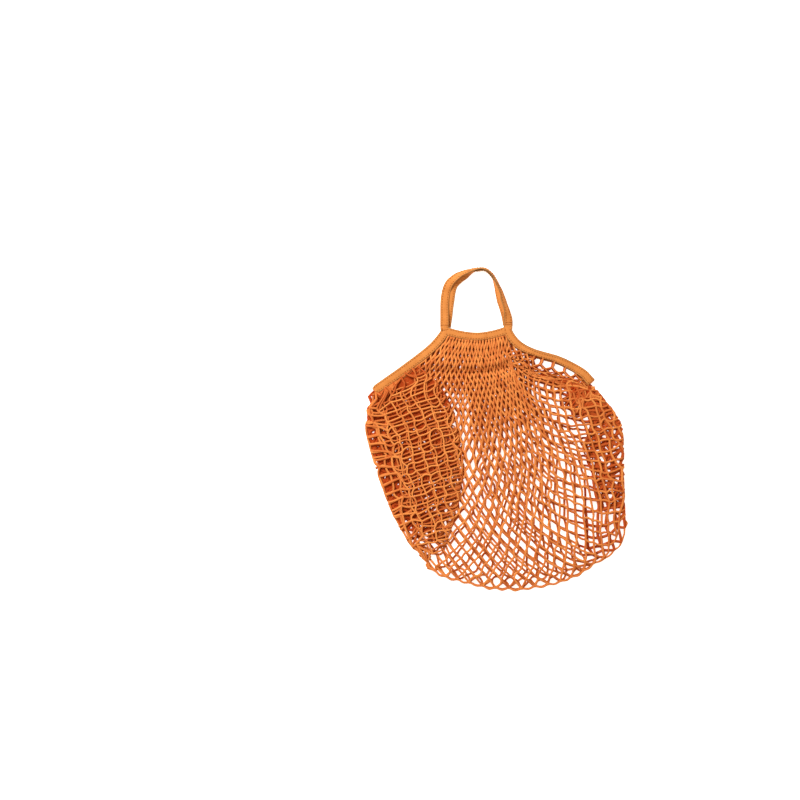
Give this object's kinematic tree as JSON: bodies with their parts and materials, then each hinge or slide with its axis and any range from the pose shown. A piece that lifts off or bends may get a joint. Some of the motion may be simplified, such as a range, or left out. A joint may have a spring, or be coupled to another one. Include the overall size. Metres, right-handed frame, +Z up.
{
  "type": "string shopping bag",
  "caption": "Empty knotted cotton net shopping bag lying flat, with a tape-bound mouth gathered at the middle and short tape handles.",
  "frame": {"origin": "on the floor, under the middle of the bag's bounding box", "axes": "+Z up from the floor, +Y from the foot of the net to the handles, +X to the right of the front"},
  "size_m": [0.4198, 0.5144, 0.0154],
  "materials": {
    "cord": "matte twisted cotton cord",
    "tape": "matte woven cotton tape"
  },
  "bodies": {
    "root": {"net": "cord", "band_front": "tape", "band_back": "tape", "tape_front_handle": "tape", "tape_back_handle": "tape"}
  },
  "joints": []
}
